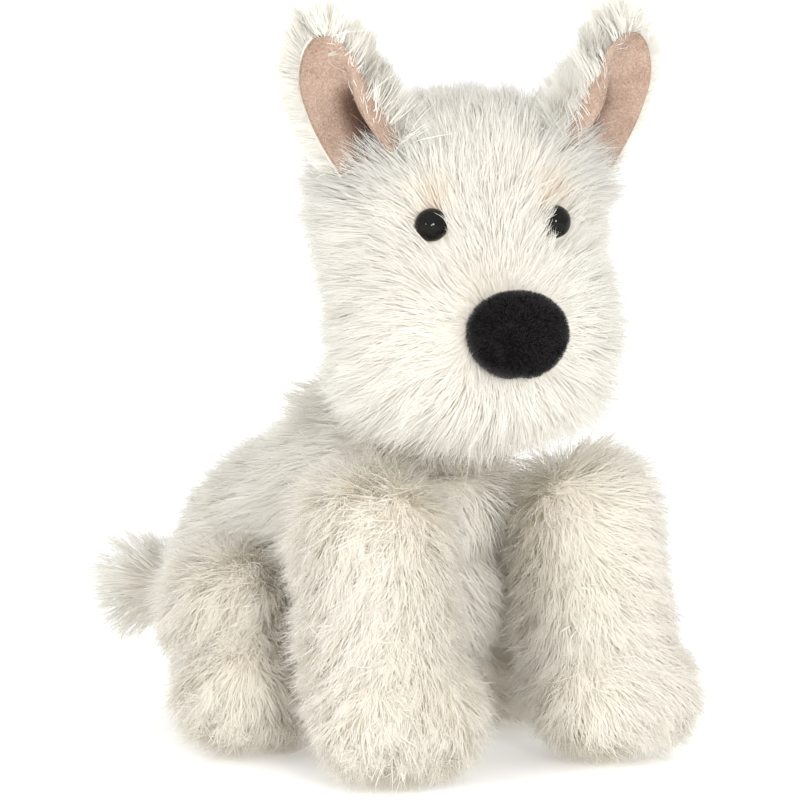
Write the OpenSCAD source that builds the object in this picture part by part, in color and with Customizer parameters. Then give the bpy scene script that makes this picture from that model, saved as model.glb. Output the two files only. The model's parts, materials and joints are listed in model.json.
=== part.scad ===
// Seated plush terrier: fur fabric covers over soft stuffing, sewn-on limbs that flex at their seams.
// Millimetres, +Z up, the dog faces -Y, its left side is +X.
// The origin is on the resting surface, under the middle of the whole toy.

/* [Fabric] */
// Thickness of the fur fabric, from its backing to the surface of the pile
pile = 9; // [7:0.5:10]
// Thickness of the suede lining of an ear
suede = 1.4; // [1:0.1:1.8]
// Gap between a cover and what fills it
ease = 0.3; // [0.2:0.05:0.4]

/* [Torso] */
// Radius of the round seat
seat_r = 53; // [51:0.5:54]
// Radius of the chest
chest_r = 36; // [34:0.5:36.5]
// Height of the chest's centre
chest_z = 94; // [93:0.5:96]
// Distance from the chest's centre back to the seat's centre
seat_back = 60; // [58:1:62]

/* [Head] */
// Radius of the skull, seen from the side
skull_r = 40; // [38:0.5:41]
// Radius of the muzzle and beard, seen from the side
muzzle_r = 39.5; // [38:0.5:40]
// Half of the head's width
head_half_w = 49.5; // [48:0.5:51]
// Height of the eyes
eye_z = 184.5; // [183:0.5:186]
// Distance between the eyes
eye_gap = 42.6; // [41:0.2:45]
// Diameter of an eye bead
eye_d = 11; // [10:0.5:12]
// Width of the nose
nose_w = 32; // [30:0.5:34]
// Height of the nose
nose_h = 27; // [25:0.5:28]
// How far the head is turned to the dog's right when at rest
head_turn = 13; // [0:1:16]

/* [Ears] */
// Length of an ear from its root to its tip
ear_len = 45; // [42:1:46]
// Width of an ear
ear_w = 34; // [32:1:35]
// Outward tilt of an ear
ear_tilt = 26; // [22:1:28]

/* [Legs] */
// Distance between the middles of the front paws
front_gap = 88; // [87:1:90]
// Radius of a front leg at the shoulder
shoulder_r = 28; // [26:0.5:28.5]
// Radius of a front leg at the ankle
ankle_r = 30; // [28:0.5:30.5]
// Radius of a thigh
thigh_r = 30; // [28:0.5:30.5]
// Radius of a paw, seen from the side
paw_r = 25; // [24:0.5:25.5]

/* [Tail] */
// Length of the tail, from root to tip
tail_len = 54; // [50:1:60]
// How far the tail points to the dog's right when at rest
tail_turn = 32; // [0:1:34]

/* [Hidden] */
$fn = 64;

left = 1;
right = -1;
big = 600;              // larger than the toy, for cutting
joint_gap = 0.5;        // between two bodies that move on each other
seam = 0.05;            // between two panels that are sewn to each other
sole_t = 3;             // height of the band of fabric that a sole takes up
seat_t = 5;             // the same under the seat

fur_white = "ivory";
fur_cream = "cornsilk";
fill_white = "white";
suede_beige = "rosybrown";

// Places that the limbs turn about
chest_y = -35;
neck_at = [0, -50, 120];
neck_r = 25;
shoulder_at = [43, -73, 80];
hip_at = [44, 5, 45];
tail_at = [0, 79, 43];

// Torso: an egg that leans back from the chest to the seat
seat_at = [0, chest_y + seat_back, seat_r - 3];
chest_at = [0, chest_y, chest_z];
seam_front = 14;        // the belly panel starts this far in front of the torso's middle line

// Head, in a frame whose origin is under the neck's middle and which faces -Y
skull_at = [0, -15, 187];
muzzle_at = [0, -32, 149];
gusset_half_w = 13;
nose_at = [0, -68, 149.5];
eye_y = -47.5;
eye_splay = 20;         // the eyes look a little outwards
eye_flat = 2.2;         // the back of the bead is cut flat this far behind its centre
eye_clear = 1.5;        // the pile is clipped back this far round a bead
bead_gap = 0.1;         // between the back of a bead and the cloth it is pulled onto
backing = 1.5;          // cloth left under an eye
shank_r = 2;
shank_len = 8;
shank_gap = 0.1;        // between the shank and the hole in the cloth
washer_r = 6;
washer_t = 1.6;
washer_drop = 1.2;      // a flat washer behind a curved cloth stands this far off it
washer_clear = 1;       // stuffing is kept this far off a washer
velvet = 1.2;           // thickness of the nose's cloth
nose_gap = 0.2;         // between the nose and the fur it is sewn into
chin_top = nose_at[2] - nose_h / 2 - 2;

// Ears, in the head's frame
ear_at = [38.4, -32, 209];
ear_cup_r = 20;         // an ear is bent round an upright cylinder of this radius
ear_t = 5.5;
ear_root_r = 4.5;
ear_root_len = 20;
ear_root_lap = 0.5;     // the leaf of an ear is sunk this far into its root
lining_edge = 4;        // the fur shows this far beyond the sides of the lining
lining_tip_edge = 6;    // and this far beyond its tip
lining_gap = 0.1;
ear_room_r = 8.0;       // the hollow in the head that the foot of an ear turns in
ear_room_len = 29;
ear_face = 12;          // the ears open a little outwards

// Legs
ankle_at = [front_gap / 2, -81, 31];
front_paw_at = [front_gap / 2, -90, paw_r - 1];
front_paw_w = 66;
hind_paw_at = [51, -13, paw_r - 1];
hind_paw_w = 64;
paw_step = 2;           // the hind leg runs into its paw a little thinner than the paw

// Tail
tail_root_r = 14;
tail_tip_r = 18;
tail_room_r = tail_root_r + 3;

// Seat filling
bag_at = [0, seat_at[1] + 15, 33];     // behind the hips
bag_r = 20.5;
bag_t = 1;

// An egg round the z axis: a ball of radius r0 at the origin, a ball of radius r1 at height len,
// and the cone that touches both. Its outline is two arcs, so it turns into a few simple faces.
function arc(r, z, from, to, steps) =
    [for (i = [0:steps]) let (a = from + (to - from) * i / steps) [max(0, r * cos(a)), z + r * sin(a)]];

module egg(r0, r1, len) {
    slope = asin((r0 - r1) / len);
    rotate_extrude()
        polygon(concat(arc(r0, 0, -90, slope, 12), arc(r1, len, slope, 90, 9)));
}

// An egg between two points
module egg_between(p0, p1, r0, r1) {
    d = p1 - p0;
    len = norm(d);
    translate(p0)
        rotate([0, acos(d[2] / len), atan2(d[1], d[0])])
            egg(r0, r1, len);
}

// A rounded bar across the toy: w wide in all, r its radius
module bar_across(at, r, w) {
    half = w / 2 - r;
    translate([at[0] - half, at[1], at[2]])
        rotate([0, 90, 0])
            egg(r, r, 2 * half);
}

module above(z) translate([-big / 2, -big / 2, z]) cube(big);

module below(z) translate([-big / 2, -big / 2, z - big]) cube(big);

module beyond_x(x) translate([x, -big / 2, -big / 2]) cube(big);

module on_side(side) {
    if (side == left) children();
    else mirror([1, 0, 0]) children();
}

// Torso

module torso_form(inset) {
    egg_between(seat_at, chest_at, seat_r - inset, chest_r - inset);
}

// Room for the neck, the limbs and the tail to turn in
module torso_sockets() {
    translate(neck_at) sphere(neck_r + joint_gap);
    for (side = [left, right])
        on_side(side) {
            front_leg_room();
            hind_leg_room();
        }
    translate(tail_at) sphere(tail_room_r);
}

module rod_between(p0, p1, r) {
    d = p1 - p0;
    translate(p0)
        rotate([0, acos(d[2] / norm(d)), atan2(d[1], d[0])])
            cylinder(h = norm(d), r = r);
}

module front_leg_room() {
    translate(shoulder_at) sphere(shoulder_r + joint_gap);
    rod_between(shoulder_at, ankle_at, ankle_r + joint_gap);
}

// A thigh and the inner end of a hind paw are balls, with a third ball between them
module hind_leg_room() {
    paw_inner_at = hind_paw_at - [hind_paw_w / 2 - paw_r, 0, 0];
    translate(hip_at) sphere(thigh_r + 2 * joint_gap);
    translate((hip_at + hind_paw_at) / 2) sphere((thigh_r + paw_r) / 2 + 2 * joint_gap);
    translate(paw_inner_at) sphere(paw_r + joint_gap);
}

// The cloth of the torso, before it is cut into panels
module torso_cloth() {
    difference() {
        intersection() {
            torso_form(0);
            above(0);
        }
        intersection() {
            torso_form(pile);
            above(seat_t);
        }
        torso_sockets();
    }
}

// Everything in front of and under the line from the seat to the chest
module belly_half() {
    lean = atan2(seat_back, chest_z - seat_at[2]);
    translate(seat_at)
        rotate([lean, 0, 0])
            translate([-big / 2, -big - seam_front, -big / 2]) cube(big);
}

module torso_side(side) {
    color(fur_white)
        difference() {
            intersection() {
                torso_cloth();
                on_side(side) beyond_x(seam);
                above(seat_t);
            }
            belly_half();
        }
}

module belly_panel() {
    color(fur_cream)
        intersection() {
            torso_cloth();
            belly_half();
            above(seat_t);
        }
}

module seat_panel() {
    color(fur_white)
        intersection() {
            torso_cloth();
            below(seat_t - seam);
        }
}

module torso_stuffing() {
    color(fill_white)
        difference() {
            intersection() {
                torso_form(pile + ease);
                above(seat_t + ease);
            }
            torso_sockets();
            translate(bag_at) sphere(bag_r + ease);
        }
}

module pellet_bag() {
    color("gainsboro")
        translate(bag_at)
            difference() {
                sphere(bag_r);
                sphere(bag_r - bag_t);
            }
}

module pellet_fill() {
    color("silver") translate(bag_at) sphere(bag_r - bag_t - ease);
}

// Neck: a ball of stuffed cloth that the head and the torso both turn on

module neck_cover() {
    color(fur_cream)
        translate(neck_at)
            difference() {
                sphere(neck_r);
                sphere(neck_r - pile);
            }
}

module neck_stuffing() {
    color(fill_white) translate(neck_at) sphere(neck_r - pile - ease);
}

// Head

module head_frame() {
    translate([neck_at[0], neck_at[1], 0])
        rotate([0, 0, -head_turn])
            children();
}

module head_form(inset) {
    bar_across(skull_at, skull_r - inset, 2 * (head_half_w - inset));
    bar_across(muzzle_at, muzzle_r - inset, 2 * (head_half_w - inset));
}

module nose_form(inset) {
    bar_across(nose_at, nose_h / 2 - inset, nose_w - 2 * inset);
}

module neck_socket() {
    translate([0, 0, neck_at[2]]) sphere(neck_r + joint_gap);
}

// A frame at an eye, with +Z pointing out along the eye's shank
module eye_frame(side) {
    on_side(side)
        translate([eye_gap / 2, eye_y, eye_z])
            rotate([90, 0, eye_splay])
                children();
}

// The pile is brushed away round an eye, and the shank goes through the cloth
module eye_pocket(side) {
    eye_frame(side) {
        translate([0, 0, -eye_flat]) cylinder(h = big, r = eye_d / 2 + eye_clear);
        translate([0, 0, -shank_len]) cylinder(h = shank_len, r = shank_r + shank_gap);
    }
}

module ear_frame(side) {
    on_side(side)
        translate(ear_at)
            rotate([0, ear_tilt, 0])
                rotate([0, 0, ear_face])
                    children();
}

// A hollow in the head where the root of an ear is let in
module ear_room(side) {
    ear_frame(side)
        rotate([0, 90, 0])
            cylinder(h = ear_room_len, r = ear_room_r, center = true);
}

module head_cloth() {
    difference() {
        head_form(0);
        head_form(pile);
        neck_socket();
        nose_form(-nose_gap);
        for (side = [left, right]) {
            eye_pocket(side);
            ear_room(side);
        }
    }
}

module head_side(side) {
    color(fur_white)
        head_frame()
            intersection() {
                head_cloth();
                on_side(side) beyond_x(gusset_half_w + seam);
            }
}

module gusset_strip() {
    translate([-gusset_half_w, -big / 2, 0]) cube([2 * gusset_half_w, big, big]);
}

// The part of the strip under the nose
module chin_zone() {
    intersection() {
        gusset_strip();
        below(chin_top);
    }
}

module head_gusset() {
    color(fur_white)
        head_frame()
            intersection() {
                head_cloth();
                gusset_strip();
                above(chin_top + seam);
            }
}

module chin_panel() {
    color(fur_cream)
        head_frame()
            intersection() {
                head_cloth();
                chin_zone();
            }
}

module head_stuffing() {
    color(fill_white)
        head_frame()
            difference() {
                head_form(pile + ease);
                neck_socket();
                nose_form(-nose_gap - ease);
                for (side = [left, right])
                    washer_room(side);
            }
}

module washer_room(side) {
    eye_frame(side)
        translate([0, 0, -shank_len - eye_flat - washer_clear])
            cylinder(h = shank_len + eye_flat + 4, r = washer_r + washer_clear);
}

module nose_cover() {
    color("black")
        head_frame()
            difference() {
                nose_form(0);
                nose_form(velvet);
            }
}

module nose_padding() {
    color(fill_white) head_frame() nose_form(velvet + ease);
}

// A bead with a flat back and a shank that goes through the cloth
module eye(side) {
    color("black")
        head_frame()
            eye_frame(side) {
                intersection() {
                    sphere(eye_d / 2);
                    above(-eye_flat + bead_gap);
                }
                translate([0, 0, -eye_flat - shank_len + 2 * bead_gap])
                    cylinder(h = shank_len, r = shank_r);
            }
}

// The locking washer that is pushed onto the shank behind the cloth
module eye_washer(side) {
    color("gainsboro")
        head_frame()
            eye_frame(side)
                translate([0, 0, -eye_flat - backing - washer_drop - washer_t])
                    difference() {
                        cylinder(h = washer_t, r = washer_r);
                        translate([0, 0, -1]) cylinder(h = washer_t + 2, r = shank_r + shank_gap / 2);
                    }
}

// Ears: a leaf cut out of a bent sheet, fur outside and suede inside

// Outline of an ear, seen from the front: a round root, straight sides and a round tip
module ear_leaf(w, len) {
    tip_r = w / 3.6;
    broad_at = w / 2.6;
    hull() {
        translate([0, broad_at]) circle(w / 2);
        translate([0, len - tip_r]) circle(tip_r);
    }
}

// The part of the ear's leaf that lies between two radii of the bend
module bent_leaf(w, len, r_in, r_out) {
    intersection() {
        translate([0, ear_cup_r, 0])
            rotate([90, 0, 0])
                linear_extrude(2 * ear_cup_r) ear_leaf(w, len);
        translate([0, -ear_cup_r, 0])
            difference() {
                cylinder(h = len + 1, r = r_out);
                translate([0, 0, -1]) cylinder(h = len + 3, r = r_in);
            }
    }
}

module ear_back(side) {
    color(fur_white)
        head_frame()
            ear_frame(side) {
                translate([0, 0, ear_root_r - ear_root_lap])
                    bent_leaf(ear_w, ear_len - ear_root_r, ear_cup_r, ear_cup_r + ear_t);
                rotate([0, 90, 0])
                    cylinder(h = ear_root_len, r = ear_root_r, center = true);
            }
}

module ear_lining(side) {
    color(suede_beige)
        head_frame()
            ear_frame(side)
                translate([0, 0, ear_root_r + ease])
                    bent_leaf(
                        ear_w - 2 * lining_edge,
                        ear_len - ear_root_r - lining_tip_edge,
                        ear_cup_r - lining_gap - suede,
                        ear_cup_r - lining_gap
                    );
}

// Front legs: a thick column from the shoulder to a wide paw

module front_leg_form(inset) {
    egg_between(shoulder_at, ankle_at, shoulder_r - inset, ankle_r - inset);
    bar_across(front_paw_at, paw_r - inset, front_paw_w - 2 * inset);
}

module hind_leg_form(inset) {
    egg_between(hip_at, hind_paw_at, thigh_r - inset, paw_r - paw_step - inset);
    bar_across(hind_paw_at, paw_r - inset, hind_paw_w - 2 * inset);
}

module leg_form(which, inset) {
    if (which == "front") front_leg_form(inset);
    else hind_leg_form(inset);
}

module leg_cover(which, side) {
    color(fur_cream)
        on_side(side)
            difference() {
                intersection() {
                    leg_form(which, 0);
                    above(sole_t);
                }
                intersection() {
                    leg_form(which, pile);
                    above(sole_t);
                }
            }
}

module leg_sole(which, side) {
    color(fur_white)
        on_side(side)
            intersection() {
                leg_form(which, 0);
                above(0);
                below(sole_t - seam);
            }
}

module leg_stuffing(which, side) {
    color(fill_white)
        on_side(side)
            intersection() {
                leg_form(which, pile + ease);
                above(sole_t + ease);
            }
}

// Tail: a short bushy tuft, thicker towards its tip

module tail_form(inset) {
    translate(tail_at)
        rotate([-90, 0, tail_turn])
            egg(tail_root_r - inset, tail_tip_r - inset, tail_len - tail_tip_r);
}

module tail_cover() {
    color(fur_white)
        difference() {
            tail_form(0);
            tail_form(pile);
        }
}

module tail_stuffing() {
    color(fill_white) tail_form(pile + ease);
}

head_side(left);  // head_side_left
head_side(right);  // head_side_right
head_gusset();
chin_panel();
head_stuffing();
nose_cover();
nose_padding();
eye(left);  // eye_left
eye(right);  // eye_right
eye_washer(left);  // eye_washer_left
eye_washer(right);  // eye_washer_right
ear_back(left);  // ear_back_left
ear_back(right);  // ear_back_right
ear_lining(left);  // ear_lining_left
ear_lining(right);  // ear_lining_right
neck_cover();
neck_stuffing();
torso_side(left);  // torso_side_left
torso_side(right);  // torso_side_right
belly_panel();
seat_panel();
torso_stuffing();
pellet_bag();
pellet_fill();
leg_cover("front", left);  // front_leg_cover_left
leg_cover("front", right);  // front_leg_cover_right
leg_stuffing("front", left);  // front_leg_stuffing_left
leg_stuffing("front", right);  // front_leg_stuffing_right
leg_sole("front", left);  // front_sole_left
leg_sole("front", right);  // front_sole_right
leg_cover("hind", left);  // hind_leg_cover_left
leg_cover("hind", right);  // hind_leg_cover_right
leg_stuffing("hind", left);  // hind_leg_stuffing_left
leg_stuffing("hind", right);  // hind_leg_stuffing_right
leg_sole("hind", left);  // hind_sole_left
leg_sole("hind", right);  // hind_sole_right
tail_cover();
tail_stuffing();
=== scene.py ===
import json
import math

import bmesh
import bpy
import numpy as np
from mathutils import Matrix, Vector
from mathutils.bvhtree import BVHTree
from mathutils.kdtree import KDTree


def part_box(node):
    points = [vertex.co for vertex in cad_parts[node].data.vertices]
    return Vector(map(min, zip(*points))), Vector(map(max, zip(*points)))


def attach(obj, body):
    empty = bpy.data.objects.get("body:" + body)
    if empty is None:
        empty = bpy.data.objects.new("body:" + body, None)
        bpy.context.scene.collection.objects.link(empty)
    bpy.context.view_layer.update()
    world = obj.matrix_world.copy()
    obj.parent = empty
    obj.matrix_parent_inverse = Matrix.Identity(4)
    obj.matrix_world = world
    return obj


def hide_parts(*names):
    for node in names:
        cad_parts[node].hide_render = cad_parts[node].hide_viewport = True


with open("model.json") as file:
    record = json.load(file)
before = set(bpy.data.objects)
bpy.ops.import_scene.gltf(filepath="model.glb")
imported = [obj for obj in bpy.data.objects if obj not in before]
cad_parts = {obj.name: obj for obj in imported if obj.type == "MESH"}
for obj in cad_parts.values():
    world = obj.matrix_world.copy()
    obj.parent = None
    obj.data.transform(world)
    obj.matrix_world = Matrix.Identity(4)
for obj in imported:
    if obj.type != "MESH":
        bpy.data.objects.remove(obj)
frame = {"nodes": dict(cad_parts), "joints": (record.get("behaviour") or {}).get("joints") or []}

# A seated plush terrier. Each stuffed body gets a cloth skin, inflated by a cloth simulation, and a coat of
# fibres that are grown on the skin, combed, and drawn together into tufts. Metres, in the frame's own axes.

MM = 0.001
UP = np.array((0.0, 0.0, 1.0))
SIDES = ("left", "right")
LEGS = ("front", "hind")
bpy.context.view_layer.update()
joints = {joint["name"]: joint for joint in frame["joints"]}
scene = bpy.context.scene


# Small tools

def unit(v):
    """Each vector at length 1."""
    v = np.asarray(v, float)
    return v / np.maximum(np.linalg.norm(v, axis=-1, keepdims=True), 1e-12)


def smooth(x, low, high):
    """0 up to low, 1 from high on, and an S-curve between them."""
    t = np.clip((x - low) / (high - low), 0, 1)
    return t * t * (3 - 2 * t)


def along_surface(v, normals):
    """The part of each vector that lies in the surface, at length 1."""
    return unit(v - (v * normals).sum(-1, keepdims=True) * normals)


def centre(node):
    low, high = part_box(node)
    return np.array((low + high) / 2)


def joint_at(name):
    return np.array(joints[name]["pos_m"])


def vertex_values(mesh, attribute):
    """A vector of each vertex, as an array."""
    values = np.empty(len(mesh.vertices) * 3, np.float32)
    mesh.vertices.foreach_get(attribute, values)
    return values.reshape(-1, 3).astype(float)


def coordinates(mesh):
    return vertex_values(mesh, "co")


def set_coordinates(mesh, co):
    mesh.vertices.foreach_set("co", co.astype(np.float32).ravel())
    mesh.update()


def linked_object(name, data):
    obj = bpy.data.objects.new(name, data)
    scene.collection.objects.link(obj)
    return obj


def new_object(name, verts, faces, material=None):
    mesh = bpy.data.meshes.new(name)
    mesh.from_pydata([tuple(v) for v in verts], [], [tuple(f) for f in faces])
    mesh.validate()
    mesh.shade_smooth()
    if material is not None:
        mesh.materials.append(material)
    return linked_object(name, mesh)


def bake_modifiers(obj):
    """Replaces an object's mesh by what its modifiers make of it."""
    depsgraph = bpy.context.evaluated_depsgraph_get()
    mesh = bpy.data.meshes.new_from_object(obj.evaluated_get(depsgraph))
    obj.modifiers.clear()
    obj.data = mesh


def tree_of(obj):
    """An object's surface, to ask distances and rays of."""
    return BVHTree.FromObject(obj, bpy.context.evaluated_depsgraph_get())


# Frame of the head: its origin is the neck's pivot, x is to the dog's left, y is backwards

neck_pivot = joint_at("head_nod")
head_x = unit(joints["head_nod"]["axis"])
head_y = np.cross(UP, head_x)
head_axes = np.array((head_x, head_y, UP))


def in_head(points):
    return (points - neck_pivot) @ head_axes.T


def from_head(points):
    return np.asarray(points) @ head_axes + neck_pivot


NOSE_WIDTH = 32 * MM
nose_low, nose_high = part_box("nose_cover")
nose_height = nose_high.z - nose_low.z
nose_in_head = in_head(centre("nose_cover"))


# Materials

UV_LAYER = "OFBake"
PLEAT_SHADE = "pleat"                 # name of the attribute that is 1 deep in a pleat, where shade is painted


class Finish:
    """A material with its nodes and its Principled shader."""

    def __init__(self, name):
        self.material = bpy.data.materials.new(name)
        self.material.use_nodes = True
        self.material.node_tree.nodes.clear()
        self.out = self.add("OutputMaterial")
        self.shader = self.add("BsdfPrincipled")
        self.link(self.shader.outputs[0], self.out.inputs[0])

    def add(self, kind, inputs=None):
        node = self.material.node_tree.nodes.new("ShaderNode" + kind)
        for name, value in (inputs or {}).items():
            node.inputs[name].default_value = value
        return node

    def link(self, output, target):
        self.material.node_tree.links.new(output, target)

    def shade(self, colour, values):
        """Gives the shader its colour, and its other inputs plain values."""
        self.link(colour, self.shader.inputs["Base Color"])
        for name, value in values.items():
            self.shader.inputs[name].default_value = value

    def noise(self, scale, detail=2, roughness=0.5):
        place = self.add("TexCoord")
        noise = self.add("TexNoise", {"Scale": scale, "Detail": detail, "Roughness": roughness})
        self.link(place.outputs["Object"], noise.inputs["Vector"])
        return noise.outputs[0]

    def ramp(self, value, stops):
        """Colours over a value, from stops of a place and a colour."""
        node = self.add("ValToRGB")
        elements = node.color_ramp.elements
        while len(elements) < len(stops):
            elements.new(0.5)
        for element, (at, colour) in zip(elements, stops):
            element.position = at
            element.color = (*colour, 1)
        self.link(value, node.inputs[0])
        return node.outputs[0]

    def mix(self, first, second, share=None, way="MIX"):
        """Two colours mixed by a share, or fully where there is none."""
        factor, colour_a, colour_b, colour_out = 0, 6, 7, 2
        node = self.add("Mix")
        node.data_type = "RGBA"
        node.blend_type = way
        node.inputs[factor].default_value = 1
        if share is not None:
            self.link(share, node.inputs[factor])
        self.link(first, node.inputs[colour_a])
        self.link(second, node.inputs[colour_b])
        return node.outputs[colour_out]

    def bump(self, height, strength, distance):
        relief = self.add("Bump", {"Strength": strength, "Distance": distance})
        self.link(height, relief.inputs["Height"])
        self.link(relief.outputs[0], self.shader.inputs["Normal"])


def fibre_material(name, tips, roots, translucency):
    """Fur: u of the UV picks the fibre's warmth (tone and painted shade), and v runs from root to tip."""
    finish = Finish(name)
    uv = finish.add("UVMap")
    uv.uv_map = UV_LAYER
    split = finish.add("SeparateXYZ")
    finish.link(uv.outputs[0], split.inputs[0])
    warmth, along = split.outputs[0], split.outputs[1]
    tip_share = finish.ramp(along, [(0.0, (0, 0, 0)), (0.55, (1, 1, 1))])
    colour = finish.mix(finish.ramp(warmth, roots), finish.ramp(warmth, tips), tip_share)
    finish.shade(colour, {"Roughness": 0.7, "Specular IOR Level": 0.25, "Sheen Weight": 0.15})
    through_light = finish.add("BsdfTranslucent")
    finish.link(colour, through_light.inputs[0])
    both = finish.add("MixShader", {0: translucency})
    finish.link(finish.shader.outputs[0], both.inputs[1])
    finish.link(through_light.outputs[0], both.inputs[2])
    finish.link(both.outputs[0], finish.out.inputs[0])
    return finish.material


def painted_pleat_shade(finish):
    """Painted shade in a pleat: a colour to multiply by, darker deep in the pleat."""
    pleat = finish.add("Attribute")
    pleat.attribute_name = PLEAT_SHADE
    return finish.ramp(pleat.outputs["Fac"], [(0.0, (1.1, 1.1, 1.1)), (1.0, (0.34, 0.27, 0.25))])


def cloth_material(name, dark, light, scale, roughness, relief, sheen, specular=0.2, pleat_shade_painted=False):
    """Cloth with a fine mottled nap. Pleated cloth also gets painted shade deep in its pleats."""
    finish = Finish(name)
    broad = finish.noise(scale / 12)
    fine = finish.noise(scale, detail=6, roughness=0.7)
    both = finish.add("Math", {1: 0.35})
    both.operation = "MULTIPLY_ADD"
    finish.link(broad, both.inputs[0])
    finish.link(fine, both.inputs[2])
    colour = finish.ramp(both.outputs[0], [(0.45, dark), (0.9, light)])
    # painted shade: darker deep in the pleats
    if pleat_shade_painted:
        colour = finish.mix(colour, painted_pleat_shade(finish), way="MULTIPLY")
    finish.shade(colour, {
        "Roughness": roughness,
        "Specular IOR Level": specular,
        "Sheen Weight": sheen,
        "Sheen Roughness": 0.4,
    })
    finish.bump(fine, relief, 0.4 * MM)
    return finish.material


def bead_material():
    """Polished black plastic."""
    finish = Finish("eye_black")
    colour = finish.ramp(finish.noise(300), [(0.3, (0.004, 0.004, 0.004)), (0.8, (0.012, 0.010, 0.009))])
    finish.shade(colour, {"Roughness": 0.07, "Specular IOR Level": 0.15})
    return finish.material


def plastic_material():
    """Clear-grained white plastic, a little yellowed."""
    finish = Finish("washer_plastic")
    grain = finish.noise(400)
    colour = finish.ramp(grain, [(0.3, (0.62, 0.59, 0.50)), (0.7, (0.74, 0.73, 0.68))])
    finish.shade(colour, {"Roughness": 0.4})
    finish.bump(grain, 0.2, 0.1 * MM)
    return finish.material


# The warm end of each ramp is darker and browner; it shows the painted shade of creases and brows as well as
# the fur's own tone
fur_white = fibre_material(
    "fur_white",
    tips=[(0.0, (0.945, 0.93, 0.88)), (0.55, (0.95, 0.905, 0.825)), (1.0, (0.84, 0.72, 0.57))],
    roots=[(0.0, (0.95, 0.925, 0.865)), (0.55, (0.93, 0.87, 0.77)), (1.0, (0.74, 0.60, 0.45))],
    translucency=0.35,
)
# A lighter copy of the white fur, with painted light, for the legs and the neck: their fur shades itself
# more deeply, and this lightens it
fur_cream = fibre_material(
    "fur_cream",
    tips=[(0.0, (0.985, 0.965, 0.91)), (0.55, (0.98, 0.935, 0.855)), (1.0, (0.90, 0.80, 0.65))],
    roots=[(0.0, (0.985, 0.96, 0.90)), (0.55, (0.98, 0.93, 0.84)), (1.0, (0.85, 0.72, 0.56))],
    translucency=0.4,
)
pile_black = fibre_material(
    "pile_black",
    tips=[(0.0, (0.010, 0.008, 0.008)), (1.0, (0.022, 0.018, 0.018))],
    roots=[(0.0, (0.002, 0.0018, 0.002)), (1.0, (0.005, 0.004, 0.0045))],
    translucency=0.1,
)
fur_backing = cloth_material(
    "fur_backing", dark=(0.86, 0.80, 0.70), light=(0.95, 0.92, 0.85),
    scale=900, roughness=0.9, relief=0.3, sheen=0.2,
)
# Suede for the ear linings, with painted shade deep in their pleats
suede = cloth_material(
    "suede_beige", dark=(0.20, 0.125, 0.085), light=(0.50, 0.375, 0.30),
    scale=1500, roughness=0.95, relief=0.5, sheen=0.1, pleat_shade_painted=True,
)
velvet = cloth_material(
    "nose_velvet", dark=(0.0015, 0.0012, 0.0015), light=(0.007, 0.006, 0.0065),
    scale=2200, roughness=1.0, relief=0.6, sheen=0.0, specular=0.05,
)
bead_black = bead_material()
washer_plastic = plastic_material()
for side in SIDES:
    washer_slots = frame["nodes"][f"eye_washer_{side}"].data.materials
    washer_slots.clear()
    washer_slots.append(washer_plastic)


# Skins: the stuffed cloth bodies under the fur

VOXEL = 4.5 * MM
SWELL = 3 * MM                  # the most that air pressure moves a point
CLOTH_FRAMES = 20

# For each body, the nodes that its skin is shrunk on, and the nodes that it stands for
SKINS = {
    "head": (
        ["head_stuffing", "eye_washer_left", "eye_washer_right"],
        ["head_side_left", "head_side_right", "head_gusset", "chin_panel", "head_stuffing"],
    ),
    "neck": (["neck_stuffing"], ["neck_cover", "neck_stuffing"]),
    "torso": (
        ["torso_stuffing", "pellet_bag", "pellet_fill"],
        ["torso_side_left", "torso_side_right", "belly_panel", "seat_panel", "torso_stuffing",
         "pellet_bag", "pellet_fill"],
    ),
    "tail": (["tail_stuffing"], ["tail_cover", "tail_stuffing"]),
}
for side in SIDES:
    for leg in LEGS:
        stuffing = f"{leg}_leg_stuffing_{side}"
        covers = [f"{leg}_leg_cover_{side}", stuffing, f"{leg}_sole_{side}"]
        SKINS[f"{leg}_leg_{side}"] = ([stuffing], covers)

shoulders = (joint_at("front_leg_left_swing") + joint_at("front_leg_right_swing")) / 2
hips = (joint_at("hind_leg_left_splay") + joint_at("hind_leg_right_splay")) / 2
tail_root = joint_at("tail_wag")
tail_way = unit((centre("tail_cover") - tail_root) * (1, 1, 0))

# Loose stuffing that rounds a skin out where the solids leave a hollow: its middle and its radius
LOOSE_STUFFING = {
    "torso": [
        (shoulders + 0.6 * (hips - shoulders), 30 * MM),
        (neck_pivot + np.array((0, 45, -20)) * MM, 20 * MM),
    ],
    "tail": [(tail_root + 7 * MM * tail_way, 9 * MM)],
}


def joined_copy(name, nodes, balls):
    """One new object with copies of several nodes' meshes, and with balls."""
    verts, faces = [], []
    for middle, radius in balls:
        ball = bmesh.new()
        bmesh.ops.create_icosphere(ball, subdivisions=3, radius=radius)
        base = len(verts)
        verts += [v.co + Vector(middle) for v in ball.verts]
        faces += [[base + v.index for v in face.verts] for face in ball.faces]
        ball.free()
    for node in nodes:
        mesh = frame["nodes"][node].data
        base = len(verts)
        verts += [v.co.copy() for v in mesh.vertices]
        faces += [[base + i for i in p.vertices] for p in mesh.polygons]
    return new_object(name, verts, faces)


def remesh(obj):
    """Makes one even closed skin of an object."""
    modifier = obj.modifiers.new("Remesh", "REMESH")
    modifier.mode = "VOXEL"
    modifier.voxel_size = VOXEL
    relax = obj.modifiers.new("Relax", "SMOOTH")
    relax.iterations = 6
    bake_modifiers(obj)


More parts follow.
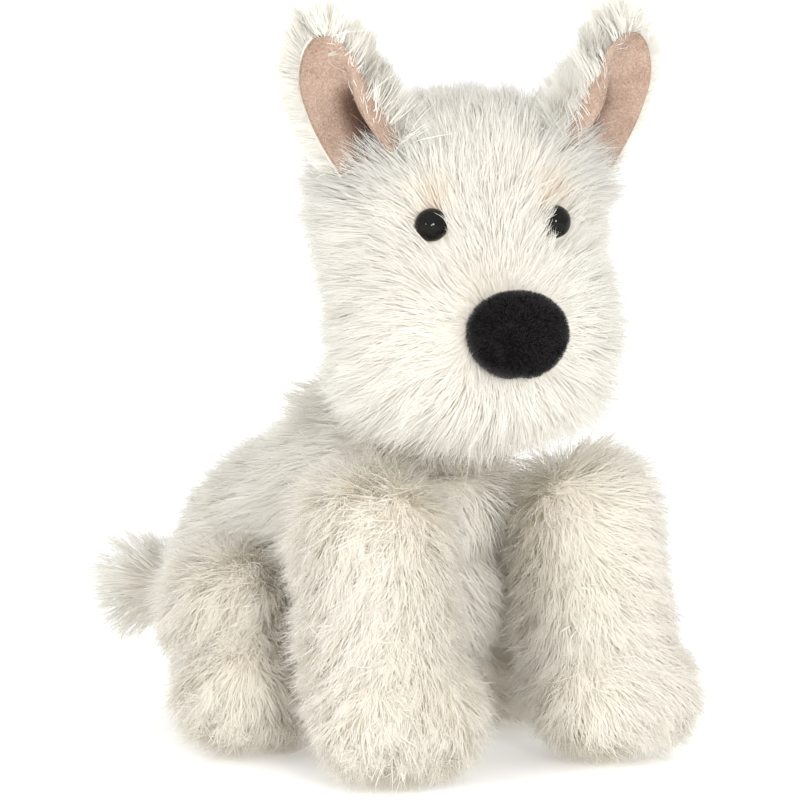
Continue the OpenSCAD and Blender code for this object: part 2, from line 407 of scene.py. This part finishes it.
def inflate(objects):
    """Cloth under air pressure, all pieces at once."""
    rest = {}
    for obj in objects:
        rest[obj] = coordinates(obj.data)
        cloth = obj.modifiers.new("Cloth", "CLOTH")
        cloth.settings.use_pressure = True
        cloth.settings.uniform_pressure_force = 4
        cloth.settings.effector_weights.gravity = 0
        cloth.settings.quality = 4
        cloth.settings.tension_stiffness = 12
        cloth.settings.compression_stiffness = 12
        cloth.settings.mass = 0.25
    for number in range(1, CLOTH_FRAMES + 1):
        scene.frame_set(number)
    for obj in objects:
        bake_modifiers(obj)
        moved = coordinates(obj.data) - rest[obj]
        length = np.linalg.norm(moved, axis=1, keepdims=True)
        limit = SWELL * np.tanh(length / SWELL) / np.maximum(length, 1e-9)
        set_coordinates(obj.data, rest[obj] + moved * limit)
    scene.frame_set(1)


def subdivide(obj):
    modifier = obj.modifiers.new("Subdivision", "SUBSURF")
    modifier.levels = 1
    modifier.render_levels = 1
    bake_modifiers(obj)
    obj.data.shade_smooth()


def fill_cheeks(skin):
    """Draws the head's skin out towards its convex outline, so that the cheeks run from skull to muzzle."""
    share, most = 0.7, 7 * MM
    co = coordinates(skin.data)
    normals = vertex_values(skin.data, "normal")
    hull = bmesh.new()
    for p in co:
        hull.verts.new(p)
    bmesh.ops.convex_hull(hull, input=hull.verts)
    tree = BVHTree.FromBMesh(hull)
    hull.free()
    above_chin = smooth(in_head(co)[:, 2], 18 * MM, 34 * MM)
    for i, (p, n) in enumerate(zip(co, normals)):
        room = tree.ray_cast(Vector(p), Vector(n))[3] or 0
        co[i] += n * min(room * share, most) * above_chin[i]
    set_coordinates(skin.data, co)


skins = {}
for name, (cores, covers) in SKINS.items():
    skins[name] = joined_copy(f"{name}_skin", cores, LOOSE_STUFFING.get(name, ()))
    remesh(skins[name])
fill_cheeks(skins["head"])
inflate(list(skins.values()))
for name, (cores, covers) in SKINS.items():
    skin = skins[name]
    subdivide(skin)
    skin.data.materials.clear()
    skin.data.materials.append(fur_backing)
    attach(skin, name)
    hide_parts(*covers)


# Fur

TAPER = np.array((0.75, 1.0, 0.9, 0.6))     # share of its width that a fibre has where each segment begins
SEGMENTS = len(TAPER)
FIBRE_WIDTH = 0.26 * MM
DENSITY = 2.2        # fibres to a square millimetre
MOST_TRIANGLES = 180_000                    # in one piece
FLOOR_GAP = 0.4 * MM
LEAST_LENGTH = 0.8                          # share of its length that a fibre keeps in a crease
LOOSE_SHARE = 0.08                          # of the fibres, those that belong to no tuft
SPARKLE = 0.25                              # how far a fibre is lit as a strip of its own
MOST_ROLL = 1.1                             # radians that a ribbon turns about its own length, either way
WARMTH_STEPS = 64                           # columns of the UV square, one for each warmth of a fibre
COAT_MATERIALS = {"fur_white": fur_white, "fur_cream": fur_cream, "nose_velvet": pile_black}
rng = np.random.default_rng(11)


class Ground:
    """A skin's triangles as arrays, to plant fibres on and to ask how near the neighbours are."""

    def __init__(self, obj, neighbours=()):
        mesh = obj.data
        mesh.calc_loop_triangles()
        self.co = coordinates(mesh)
        self.normals = vertex_values(mesh, "normal")
        tris = np.empty(len(mesh.loop_triangles) * 3, np.int32)
        mesh.loop_triangles.foreach_get("vertices", tris)
        self.tris = tris.reshape(-1, 3)
        a, b, c = (self.co[self.tris[:, i]] for i in range(3))
        self.areas = np.linalg.norm(np.cross(b - a, c - a), axis=1) / 2
        self.room = np.ones(len(self.co))
        for tree in map(tree_of, neighbours):
            near = [tree.find_nearest(Vector(p))[3] for p in self.co]
            self.room = np.minimum(self.room, near)

    def plant(self, count, weight=None):
        """Random roots, even over the surface or by a weight for each corner."""
        share = self.areas.copy()
        if weight is not None:
            share *= weight[self.tris].mean(1)
        tri = rng.choice(len(share), count, p=share / share.sum())
        r1, r2 = np.sqrt(rng.random(count)), rng.random(count)
        bary = np.stack([1 - r1, r1 * (1 - r2), r1 * r2], 1)[:, :, None]
        corners = self.tris[tri]
        points = (self.co[corners] * bary).sum(1)
        normals = unit((self.normals[corners] * bary).sum(1))
        room = (self.room[corners][:, :, None] * bary).sum(1)[:, 0]
        return points, normals, room


def wander(points, size, seed):
    """A smooth random vector field with features of about that size."""
    r = np.random.default_rng(seed)
    total = np.zeros_like(points)
    for octave in range(4):
        for _ in range(3):
            wave = unit(r.normal(size=3)) / size * (1 + 0.6 * octave)
            total += np.sin(points @ wave * 2 * math.pi + r.random() * 9)[:, None] * r.normal(size=3)
    return total / 3.4


def trace(points, normals, comb, length, rise, fall, curl):
    """Centre lines of fibres: each leaves its root at the angle rise above the surface and bends over
    to the angle fall, while it keeps to the way it is combed."""
    lines = [points]
    step = (length / SEGMENTS)[:, None]
    for k in range(SEGMENTS):
        s = (k + 0.5) / SEGMENTS
        angle = np.radians(rise + (fall - rise) * s)[:, None]
        way = np.cos(angle) * comb + np.sin(angle) * normals + curl * s
        lines.append(lines[-1] + unit(way) * step)
    return np.stack(lines, 1)


def draw_together(lines, points, tuft_lines, tuft_roots, owner, grip):
    """Pulls fibres towards the middle of their tuft, more towards the tips."""
    s = np.linspace(0, 1, SEGMENTS + 1)[None, :, None]
    offset = (points - tuft_roots[owner])[:, None, :]
    target = tuft_lines[owner] + offset * (1 - 0.8 * s)
    return lines + (target - lines) * (grip[:, None, None] * s ** 0.8)


def nearest_owner(points, centres):
    """For each point, the number of the centre that is nearest to it."""
    tree = KDTree(len(centres))
    for i, p in enumerate(centres):
        tree.insert(p, i)
    tree.balance()
    return np.array([tree.find(p)[1] for p in points])


def ribbon_mesh(name, verts):
    """Ribbons of quads that end in a triangle, from rows of their vertices: pairs, and last the tip."""
    count, per = verts.shape[:2]
    quads = np.array([(2 * k, 2 * k + 1, 2 * k + 3, 2 * k + 2) for k in range(SEGMENTS - 1)])
    tip = np.array((per - 3, per - 2, per - 1))
    base = (np.arange(count) * per)[:, None]
    loops = np.concatenate([base + quads.reshape(1, -1), base + tip[None, :]], 1)
    sizes = np.tile([4] * (SEGMENTS - 1) + [3], count)
    starts = np.concatenate([[0], np.cumsum(sizes)[:-1]])
    mesh = bpy.data.meshes.new(name)
    mesh.vertices.add(count * per)
    mesh.vertices.foreach_set("co", verts.astype(np.float32).ravel())
    mesh.loops.add(loops.size)
    mesh.loops.foreach_set("vertex_index", loops.astype(np.int32).ravel())
    mesh.polygons.add(len(sizes))
    mesh.polygons.foreach_set("loop_start", starts.astype(np.int32))
    mesh.polygons.foreach_set("loop_total", sizes.astype(np.int32))
    mesh.update(calc_edges=True)
    return mesh, loops.ravel()


def ribbon_uv(warmth):
    """UVs of each ribbon's vertices: a narrow strip up the column of its warmth."""
    column = (np.floor(np.clip(warmth, 0, 0.999) * WARMTH_STEPS) + 0.5) / WARMTH_STEPS
    edge = 0.4 / WARMTH_STEPS
    height = np.linspace(0.02, 0.98, SEGMENTS + 1)
    across = np.append(np.tile([-edge, edge], SEGMENTS), 0)
    up = np.append(np.repeat(height[:-1], 2), height[-1])
    return np.stack([column[:, None] + across, np.tile(up, (len(warmth), 1))], 2).reshape(-1, 2)


def ribbons(name, lines, normals, width, warmth, mat):
    """Tapered ribbons along the centre lines, as one object."""
    count = len(lines)
    ends = unit(lines[:, -1] - lines[:, 0])
    across = unit(np.cross(ends, normals + 1e-6))
    roll = rng.uniform(-MOST_ROLL, MOST_ROLL, count)[:, None]
    across = unit(across * np.cos(roll) + np.cross(ends, across) * np.sin(roll))
    half = (width[:, None] * TAPER / 2)[:, :, None] * across[:, None, :]
    body = lines[:, :SEGMENTS]
    pairs = np.stack([body - half, body + half], 2).reshape(count, 2 * SEGMENTS, 3)
    verts = np.concatenate([pairs, lines[:, -1:]], 1)
    verts[:, :, 2] = np.maximum(verts[:, :, 2], FLOOR_GAP)
    mesh, loops = ribbon_mesh(name, verts)
    layer = mesh.uv_layers.new(name=UV_LAYER)
    layer.data.foreach_set("uv", ribbon_uv(warmth)[loops].astype(np.float32).ravel())
    mesh.shade_smooth()
    facing = np.cross(across, ends)
    facing *= np.sign((facing * normals).sum(1, keepdims=True))
    shading = np.repeat(unit(normals + SPARKLE * facing), verts.shape[1], axis=0)
    mesh.normals_split_custom_set_from_vertices(shading.astype(np.float32))
    mesh.materials.append(mat)
    return linked_object(name, mesh)


def coat(name, ground, body, slot, comb, length, rise, fall, warmth, tuft=4.5, grip=0.75, density=1.0,
         weight=None, width=1.0, keep=None, swirl=0.22):
    """Covers a skin with fur. comb, length, rise, fall and warmth are functions of points and normals, tuft
    is the size of a tuft in millimetres, and keep says of each fibre's line whether it stays."""
    area = ground.areas.sum() / MM ** 2
    if weight is not None:
        area *= (weight[ground.tris].mean(1) * ground.areas).sum() / ground.areas.sum()
    count = int(area * DENSITY * density)
    points, normals, room = ground.plant(count, weight)

    def grow(p, n, r, spread, vary):
        """Lines of fibres and their lengths. spread is how far their ways differ, and vary their lengths."""
        way = comb(p, n) + wander(p, size=26 * MM, seed=3) * swirl + rng.normal(size=p.shape) * spread
        way = along_surface(way, n)
        long = length(p, n) * rng.normal(1, vary, len(p)).clip(0.55, 1.45)
        long = np.minimum(long, np.maximum(r * 1.1, LEAST_LENGTH * long))
        curl = rng.normal(size=p.shape) * spread * 1.2
        curl += wander(p, size=9 * MM, seed=5) * (0.15 + 0.6 * swirl)
        up = rise(p, n) + rng.normal(0, 7, len(p))
        down = fall(p, n) + rng.normal(0, 9, len(p))
        return trace(p, n, way, long, up, down, curl), long

    loose = rng.random(count) < LOOSE_SHARE
    lines, long = grow(points, normals, room, spread=0.16 + 0.4 * swirl, vary=0.16)
    for spacing, hold in ((tuft, grip), (tuft * 0.36, grip * 0.75)):
        tufts = max(40, int(area / spacing ** 2))
        roots, tuft_normals, tuft_room = ground.plant(tufts, weight)
        tuft_lines, _ = grow(roots, tuft_normals, tuft_room, spread=0.16, vary=0.2)
        owner = nearest_owner(points, roots)
        hold_each = np.clip(rng.normal(hold, 0.18, count), 0, 0.98)
        hold_each[loose] = 0
        lines = draw_together(lines, points, tuft_lines, roots, owner, hold_each)
    warm = warmth(points, normals, room) + rng.normal(0, 0.07, count)
    thick = width * FIBRE_WIDTH * rng.uniform(0.7, 1.25, count) * np.clip(long / (9 * MM), 0.6, 1.1)
    if keep is not None:
        kept = np.array(keep(lines), bool)
        points, normals, lines, warm, thick = (x[kept] for x in (points, normals, lines, warm, thick))
    pieces = max(1, math.ceil(len(points) * (2 * SEGMENTS - 1) / MOST_TRIANGLES))
    order = np.argsort(points[:, 0], kind="stable")
    for number, part in enumerate(np.array_split(order, pieces), 1):
        label = f"{name}_{number}" if pieces > 1 else name
        fur = ribbons(label, lines[part], normals[part], thick[part], warm[part], COAT_MATERIALS[slot])
        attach(fur, body)


# How each part of the coat is combed. Lengths are in metres, and rise and fall are in degrees.

def constant(value):
    return lambda p, *others: np.full(len(p), float(value))


def warmth_plain(base):
    """An even warmth with broad patches, and painted shade: warmer, darker fibres in creases."""
    def warmth(p, n, room):
        # Painted shade: fibres close to another skin get a warmer, darker colour
        crease_shade = 1 - smooth(room, 2 * MM, 14 * MM)
        patch = wander(p, size=40 * MM, seed=8)[:, 0] * 0.06
        return base + patch + 0.2 * crease_shade
    return warmth


def by_ears(p):
    """1 at the foot of an ear, 0 away from it."""
    near = np.min([np.linalg.norm(p - joint_at(f"ear_{side}_fold"), axis=1) for side in SIDES], axis=0)
    return 1 - smooth(near, 17 * MM, 28 * MM)


def head_top(q):
    """1 on top of the head, 0 from its brow down."""
    return smooth(q[:, 2], 88 * MM, 104 * MM)


def head_side(q):
    """1 at the sides of the head, 0 along its middle."""
    return smooth(np.abs(q[:, 0]), 12 * MM, 40 * MM)


def comb_head(p, n):
    """Away from the nose, and down at the sides and the back."""
    q = in_head(p)
    side = smooth(np.abs(q[:, 0]), 15 * MM, 45 * MM)
    back = smooth(q[:, 1], -10 * MM, 30 * MM)
    high = smooth(q[:, 2], 85 * MM, 105 * MM)
    way = unit(q - nose_in_head)
    way[:, 2] -= 0.55 * side * (1 - high) + 1.1 * back
    way[:, 0] += np.sign(q[:, 0]) * (0.5 * side + 0.6 * by_ears(p))
    return way @ head_axes


def length_head(p, n):
    """Shortest on the bridge of the nose, longer at the beard, the cheeks, the crown and the ears."""
    q = in_head(p)
    bridge = smooth(np.linalg.norm(q - nose_in_head, axis=1), 16 * MM, 40 * MM)
    below = smooth(nose_in_head[2] - q[:, 2], 0, 22 * MM)
    return (8 + 5 * bridge + 8 * below + 4.5 * head_side(q) + 3 * np.maximum(head_top(q), by_ears(p))) * MM


def rise_head(p, n):
    return 48 + 24 * np.maximum(head_top(in_head(p)), by_ears(p))


def fall_head(p, n):
    q = in_head(p)
    return 18 + 8 * head_side(q) + 34 * np.maximum(head_top(q), 1.4 * by_ears(p))


def warmth_head(p, n, room):
    """Pale, with painted shade above the inner corner of each eye: a small warmer, darker patch."""
    warm = warmth_plain(0.1)(p, n, room)
    q = in_head(p)
    for side in SIDES:
        eye = in_head(centre(f"eye_{side}"))
        brow_shade_middle = eye + np.array((-3.5 * MM * np.sign(eye[0]), 0, 3.5 * MM))
        # Painted shade under the brow
        warm += 0.7 * np.exp(-(np.linalg.norm(q - brow_shade_middle, axis=1) / (6 * MM)) ** 2)
    return warm


def clear_of_eyes(lines):
    """Whether a fibre stays out of the way in front of the eyes."""
    kept = np.ones(len(lines), bool)
    for side in SIDES:
        bead = centre(f"eye_{side}")
        way = unit(bead - centre(f"eye_washer_{side}"))
        low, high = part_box(f"eye_{side}")
        radius = (high[2] - low[2]) / 2
        offset = lines - bead
        ahead = offset @ way
        off_axis = np.linalg.norm(offset - ahead[..., None] * way, axis=2)
        hides = (off_axis < radius * 0.85) & (ahead > 0)
        kept &= ~hides.any(axis=1)
    return kept


def shoulder(p):
    """1 at the shoulders and the root of the neck, 0 below them."""
    return smooth(p[:, 2], 78 * MM, 104 * MM)


def comb_torso(p, n):
    """Down and back along the sides and the back, straight down at the chest, and away from the neck."""
    chest = smooth(-p[:, 1], 20 * MM, 60 * MM)
    way = np.zeros_like(p)
    way[:, 0] = 0.3 * np.sign(p[:, 0]) * smooth(np.abs(p[:, 0]), 0, 30 * MM)
    way[:, 1] = 0.9 * (1 - chest) - 0.15 * chest
    way[:, 2] = -1
    from_neck = unit(p - centre("neck_cover"))
    return way + from_neck * shoulder(p)[:, None]


def length_torso(p, n):
    return (17 + 4 * shoulder(p)) * MM


def comb_leg(sole):
    """Down the leg, from its back and its inner side forwards and outwards, and spread over the paw."""
    def comb(p, n):
        down = np.array((0.45 * np.sign(sole[0]), -0.4, -0.85))
        low = 1 - smooth(p[:, 2], 8 * MM, 30 * MM)
        outwards = unit((p - sole) * (1, 1, 0))
        return down + outwards * (0.9 * low)[:, None]
    return comb


def length_leg(ground):
    """Longer over the top 22 mm of a leg, where it runs into the body."""
    top = ground.co[:, 2].max() - 22 * MM
    return lambda p, n: (15 + 5 * smooth(p[:, 2], top, top + 25 * MM)) * MM


def comb_tail(p, n):
    return np.tile(tail_way, (len(p), 1)) + 0.15 * n


grounds = {}
for name in SKINS:
    others = [skins[other] for other in SKINS if other != name]
    grounds[name] = Ground(skins[name], others)

coat("head_fur", grounds["head"], "head", "fur_white", comb_head, length_head, rise_head, fall_head,
     warmth_head, tuft=3.6, grip=0.45, density=1.25, keep=clear_of_eyes)
coat("neck_fur", grounds["neck"], "neck", "fur_cream", comb_torso, constant(17 * MM), constant(60),
     constant(35), warmth_plain(0.2), density=0.7, swirl=0.4)
coat("torso_fur", grounds["torso"], "torso", "fur_white", comb_torso, length_torso, constant(52),
     constant(20), warmth_plain(0.12), tuft=4.6, grip=0.4, density=1.1, swirl=0.32)
for side in SIDES:
    for leg in LEGS:
        name = f"{leg}_leg_{side}"
        ground = grounds[name]
        coat(f"{name}_fur", ground, name, "fur_cream", comb_leg(centre(f"{leg}_sole_{side}")),
             length_leg(ground), constant(50), constant(20), warmth_plain(0.16),
             tuft=3.4, grip=0.35, density=1.3, swirl=0.42)
coat("tail_fur", grounds["tail"], "tail", "fur_white", comb_tail, constant(18 * MM), constant(64),
     constant(38), warmth_plain(0.12), tuft=5)


# Eyes

def eye_bead(side):
    """A domed bead that closes to a point behind the skin."""
    verts = coordinates(frame["nodes"][f"eye_{side}"].data)
    washer = centre(f"eye_washer_{side}")
    way = unit(centre(f"eye_{side}") - washer)
    radius = np.ptp(verts[:, 2]) / 2
    middle = washer + way * (((verts - washer) @ way).max() - radius)
    across = unit(np.cross(UP, way))
    up = np.cross(way, across)
    rings, spokes = 24, 48
    last_angle = math.radians(118)
    points, faces = [middle + way * radius], []
    for i in range(1, rings + 1):
        a = last_angle * i / rings
        for j in range(spokes):
            b = 2 * math.pi * j / spokes
            ring = across * math.cos(b) + up * math.sin(b)
            points.append(middle + way * radius * 0.97 * math.cos(a) + ring * radius * math.sin(a))
    points.append(middle - way * radius * 0.6)
    last_ring = 1 + (rings - 1) * spokes
    for j in range(spokes):
        k = (j + 1) % spokes
        faces.append((0, 1 + j, 1 + k))
        for base in range(1, last_ring, spokes):
            faces.append((base + j, base + spokes + j, base + spokes + k, base + k))
        faces.append((last_ring + j, len(points) - 1, last_ring + k))
    bead = new_object(f"eye_bead_{side}", points, faces, bead_black)
    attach(bead, "head")
    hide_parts(f"eye_{side}")


for side in SIDES:
    eye_bead(side)


# Nose

def nose():
    """A padded oval, a little narrower below, with a small dent where its lower seam is drawn in."""
    rings, spokes = 40, 80
    depth = 13.3 * MM
    squareness = 2.12               # 2 is an ellipse
    points, faces = [], []
    for i in range(rings + 1):
        a = math.pi * i / rings
        r = math.sin(a) ** 0.8
        for j in range(spokes):
            b = 2 * math.pi * j / spokes
            x, z = math.cos(b), math.sin(b)
            scale = (abs(x) ** squareness + abs(z) ** squareness) ** (-1 / squareness)
            x, z = x * scale, z * scale
            below = max(0, -z)
            x *= 1 - 0.07 * below
            z += 0.05 * math.exp(-(x / 0.12) ** 2) * below ** 3
            points.append((x * r * NOSE_WIDTH / 2, -math.cos(a) * depth, z * r * nose_height / 2))
    for base in range(0, rings * spokes, spokes):
        for j in range(spokes):
            k = (j + 1) % spokes
            faces.append((base + j, base + spokes + j, base + spokes + k, base + k))
    pad = new_object("nose_pad", from_head(np.array(points) + nose_in_head), faces, velvet)
    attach(pad, "head")
    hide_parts("nose_cover", "nose_padding")
    coat("nose_pile", Ground(pad), "head", "nose_velvet", comb_head, constant(1.5 * MM), constant(70),
         constant(50), constant(0.5), tuft=1.5, grip=0.3, density=4, width=0.7)


nose()


# Ears

class EarFrame:
    """Origin at the ear's hinge, x outwards along it, y backwards, z up the ear."""

    def __init__(self, side):
        joint = f"ear_{side}_fold"
        sign = 1 if side == "left" else -1
        self.origin = joint_at(joint)
        x = sign * unit(joints[joint]["axis"])
        z = sign * unit(np.cross(x, head_y))
        y = sign * np.cross(z, x)
        self.axes = np.array((x, y, z))

    def place(self, points):
        return points @ self.axes + self.origin

    def measure(self, points):
        return (points - self.origin) @ self.axes.T


# Across an ear from its outer edge to its inner one, as shares of its width: x outwards, y backwards.
# Its tip is almost flat. Towards its foot there is a deep pleat, over which the inner part stands forwards
# as a narrow rim.
EAR_TIP = [
    (0.50, -0.10), (0.36, -0.03), (0.18, 0.02), (0.0, 0.04), (-0.14, 0.03), (-0.24, 0.01),
    (-0.29, 0.0), (-0.32, -0.01), (-0.36, -0.02), (-0.41, -0.03), (-0.46, -0.02), (-0.50, 0.0),
]
EAR_FOOT = [
    (0.50, -0.13), (0.36, -0.05), (0.18, 0.05), (0.0, 0.13), (-0.14, 0.20), (-0.25, 0.20),
    (-0.29, 0.10), (-0.22, -0.04), (-0.20, -0.17), (-0.27, -0.23), (-0.38, -0.18), (-0.50, -0.04),
]
EAR_ROWS, EAR_COLUMNS = 44, 40
LINING_THICK = 0.9 * MM
BACKING_NEAR, BACKING_FAR = 1.0 * MM, 1.9 * MM      # the two faces of the fur's backing, behind its grid
HEM = 0.4 * MM                                      # how far the lining's edge stands past the backing's


def ear_width(t):
    """Share of its width that an ear has at the share t of its length: broad below, with a rounded tip."""
    round_tip = math.sqrt(max(0.0, 1 - max(0.0, (t - 0.66) / 0.34) ** 2))
    return (1 - 0.22 * t ** 1.5) * max(round_tip, 0.1)


def line_through(points, count):
    """A smooth line of count points through the given ones."""
    p = np.array([points[0], *points, points[-1]], float)
    line = []
    for x in np.linspace(0, len(points) - 1.0001, count):
        i, t = int(x), x - int(x)
        a, b, c, d = p[i:i + 4]
        line.append(0.5 * (2 * b + (c - a) * t + (2 * a - 5 * b + 4 * c - d) * t * t
                           + (3 * b - a - 3 * c + d) * t ** 3))
    return np.array(line)


def ear_leaf(place, width, low, high):
    """A grid of points over an ear, from its foot at low to its tip at high."""
    tip, foot = line_through(EAR_TIP, EAR_COLUMNS), line_through(EAR_FOOT, EAR_COLUMNS)
    grid = np.zeros((EAR_ROWS, EAR_COLUMNS, 3))
    for row, t in zip(grid, np.linspace(0, 1, EAR_ROWS)):
        section = (foot + (tip - foot) * smooth(t, 0.35, 0.8)) * width * ear_width(t)
        outwards = 2.4 * MM * math.sin(math.pi * t)
        forwards = 2.0 * MM * t ** 2 + 1 * MM
        row[:, 0] = section[:, 0] + outwards
        row[:, 1] = section[:, 1] - forwards
        row[:, 2] = low + (high - low) * t
    return place.place(grid)


def slab(name, grid, near, far, flip, mat):
    """A closed sheet between two distances behind a grid of points."""
    rows, columns = grid.shape[:2]
    across = np.gradient(grid, axis=1)
    along = np.gradient(grid, axis=0)
    normals = unit(np.cross(across, along)) * (-1 if flip else 1)
    verts = np.concatenate([(grid + normals * near).reshape(-1, 3), (grid + normals * far).reshape(-1, 3)])
    half = rows * columns
    faces = []
    for i in range(rows - 1):
        for j in range(columns - 1):
            a = i * columns + j
            face = (a, a + 1, a + columns + 1, a + columns)
            faces += [face[::-1], tuple(half + k for k in face)]
    top = (rows - 1) * columns
    edge = [(i * columns, (i + 1) * columns) for i in range(rows - 1)]
    edge += [(top + j, top + j + 1) for j in range(columns - 1)]
    edge += [((i + 2) * columns - 1, (i + 1) * columns - 1) for i in reversed(range(rows - 1))]
    edge += [(j + 1, j) for j in reversed(range(columns - 1))]
    faces += [(a, b, half + b, half + a) for a, b in edge]
    if flip:
        faces = [face[::-1] for face in faces]
    obj = new_object(name, verts, faces, mat)
    subdivide(obj)
    return obj


def ear_lining(side, place, grid):
    """The suede lining, with painted shade deep in its pleat, with the flat size that it was cut to."""
    lining = slab(f"ear_lining_cloth_{side}", grid, 0, LINING_THICK, side == "right", suede)
    # Painted shade: the lining's colour is darkened where this attribute is high, deep in the pleat
    depth = place.measure(coordinates(lining.data))[:, 1]
    pleat = lining.data.attributes.new(PLEAT_SHADE, "FLOAT", "POINT")
    pleat.data.foreach_set("value", smooth(depth, -0.6 * MM, 3.0 * MM).astype(np.float32))
    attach(lining, f"ear_{side}")
    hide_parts(f"ear_lining_{side}")
    return lining


def ear_backing(side, grid):
    backing = slab(f"ear_{side}_skin", grid, BACKING_NEAR, BACKING_FAR, side == "right", fur_backing)
    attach(backing, f"ear_{side}")
    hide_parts(f"ear_back_{side}")
    return backing


def ear_fur(side, place, backing, lining):
    """Fur behind the lining, densest along its edge. No fibre passes through the lining."""
    ground = Ground(backing)
    cloth = tree_of(lining)
    gap = np.array([cloth.find_nearest(Vector(p))[3] for p in ground.co])
    edge = 1 - smooth(gap, 1.0 * MM, 1.5 * MM)
    behind = smooth(gap, 0.25 * MM, 0.5 * MM) * (1 + 5 * edge)

    def comb(p, n):
        """Up the ear and towards its edges."""
        q = place.measure(p)
        way = np.stack([q[:, 0] / (9 * MM) - 0.45, np.full(len(q), 0.1), np.full(len(q), 0.9)], 1)
        return way @ place.axes

    def length(p, n):
        outer = smooth(place.measure(p)[:, 0], -6 * MM, 12 * MM)
        return (16 - 7 * outer) * MM

    def keep(lines):
        return [cloth.ray_cast(Vector(a), Vector(b - a), np.linalg.norm(b - a))[0] is None
                for a, b in zip(lines[:, 0], lines[:, -1])]

    coat(f"ear_{side}_fur", ground, f"ear_{side}", "fur_white", comb, length, constant(55), constant(28),
         warmth_plain(0.06), tuft=4.2, grip=0.6, density=2.4, weight=behind, keep=keep)


def ear(side):
    """An ear that covers its CAD lining, and runs on below it into the fur of the head."""
    place = EarFrame(side)
    cad = place.measure(coordinates(frame["nodes"][f"ear_lining_{side}"].data))
    width = np.ptp(cad[:, 0]) - 2.5 * MM
    low, high = cad[:, 2].min() - 8 * MM, cad[:, 2].max() + 1.5 * MM
    lining = ear_lining(side, place, ear_leaf(place, width, low, high))
    backing = ear_backing(side, ear_leaf(place, width - 2 * HEM, low - 1 * MM, high - HEM))
    ear_fur(side, place, backing, lining)


for side in SIDES:
    ear(side)


# Stage

AIM = Vector((0, 0, 0.124))         # the point that the camera circles
LAMP_AIM = Vector((0, 0, 0.12))
FLOOR_SIZE = 60.0


def direction(azimuth, elevation):
    """The way from the object to a camera or lamp. Azimuth 0 is in front of it."""
    a, e = math.radians(azimuth), math.radians(elevation)
    return Vector((math.sin(a) * math.cos(e), -math.cos(a) * math.cos(e), math.sin(e)))


def aim(obj, way):
    """Turns a camera or lamp so that its back is towards way."""
    obj.rotation_mode = "QUATERNION"
    obj.rotation_quaternion = way.to_track_quat("Z", "Y")


def floor():
    """A plain white floor that glows faintly, so that it stays white around the shadows."""
    finish = Finish("floor_white")
    colour = finish.ramp(finish.noise(3), [(0.3, (0.93, 0.93, 0.93)), (0.7, (0.96, 0.96, 0.96))])
    finish.shade(colour, {
        "Roughness": 1,
        "Specular IOR Level": 0,
        "Emission Color": (1, 1, 1, 1),
        "Emission Strength": 0.25,
    })
    h = FLOOR_SIZE / 2
    corners = [(-h, -h, 0), (h, -h, 0), (h, h, 0), (-h, h, 0)]
    new_object("floor", corners, [(0, 1, 2, 3)], finish.material)


def light(name, azimuth, elevation, distance, size, power):
    data = bpy.data.lights.new(name, "AREA")
    data.shape = "SQUARE"
    data.size = size
    data.energy = power
    lamp = linked_object(name, data)
    way = direction(azimuth, elevation)
    lamp.location = LAMP_AIM + way * distance
    aim(lamp, way)


def camera(azimuth, elevation, distance, shift_right, shift_up, width):
    """A camera that sees the given width at the object. The shifts move what it looks at, in metres."""
    data = bpy.data.cameras.new("camera")
    data.sensor_width = 36
    data.lens = data.sensor_width * distance / width
    data.clip_end = 100
    cam = linked_object("camera", data)
    way = direction(azimuth, elevation)
    right = Vector((-way.y, way.x, 0)).normalized()
    up = way.cross(right)
    cam.location = AIM + way * distance
    aim(cam, cam.location - (AIM + right * shift_right + up * shift_up))
    scene.camera = cam


def studio_world():
    world = bpy.data.worlds.new("studio")
    world.use_nodes = True
    background = world.node_tree.nodes["Background"]
    background.inputs["Color"].default_value = (1, 1, 1, 1)
    background.inputs["Strength"].default_value = 1.0
    scene.world = world


floor()
light("key", azimuth=-72, elevation=10, distance=1.6, size=0.14, power=3)
light("fill", azimuth=-22, elevation=10, distance=1.6, size=0.22, power=11)
light("back", azimuth=165, elevation=30, distance=1.8, size=0.6, power=5)
camera(azimuth=-34, elevation=5.7, distance=1.8, shift_right=0.01497, shift_up=-0.0065, width=0.276)
studio_world()
scene.view_settings.view_transform = "Standard"
scene.cycles.diffuse_bounces = 10
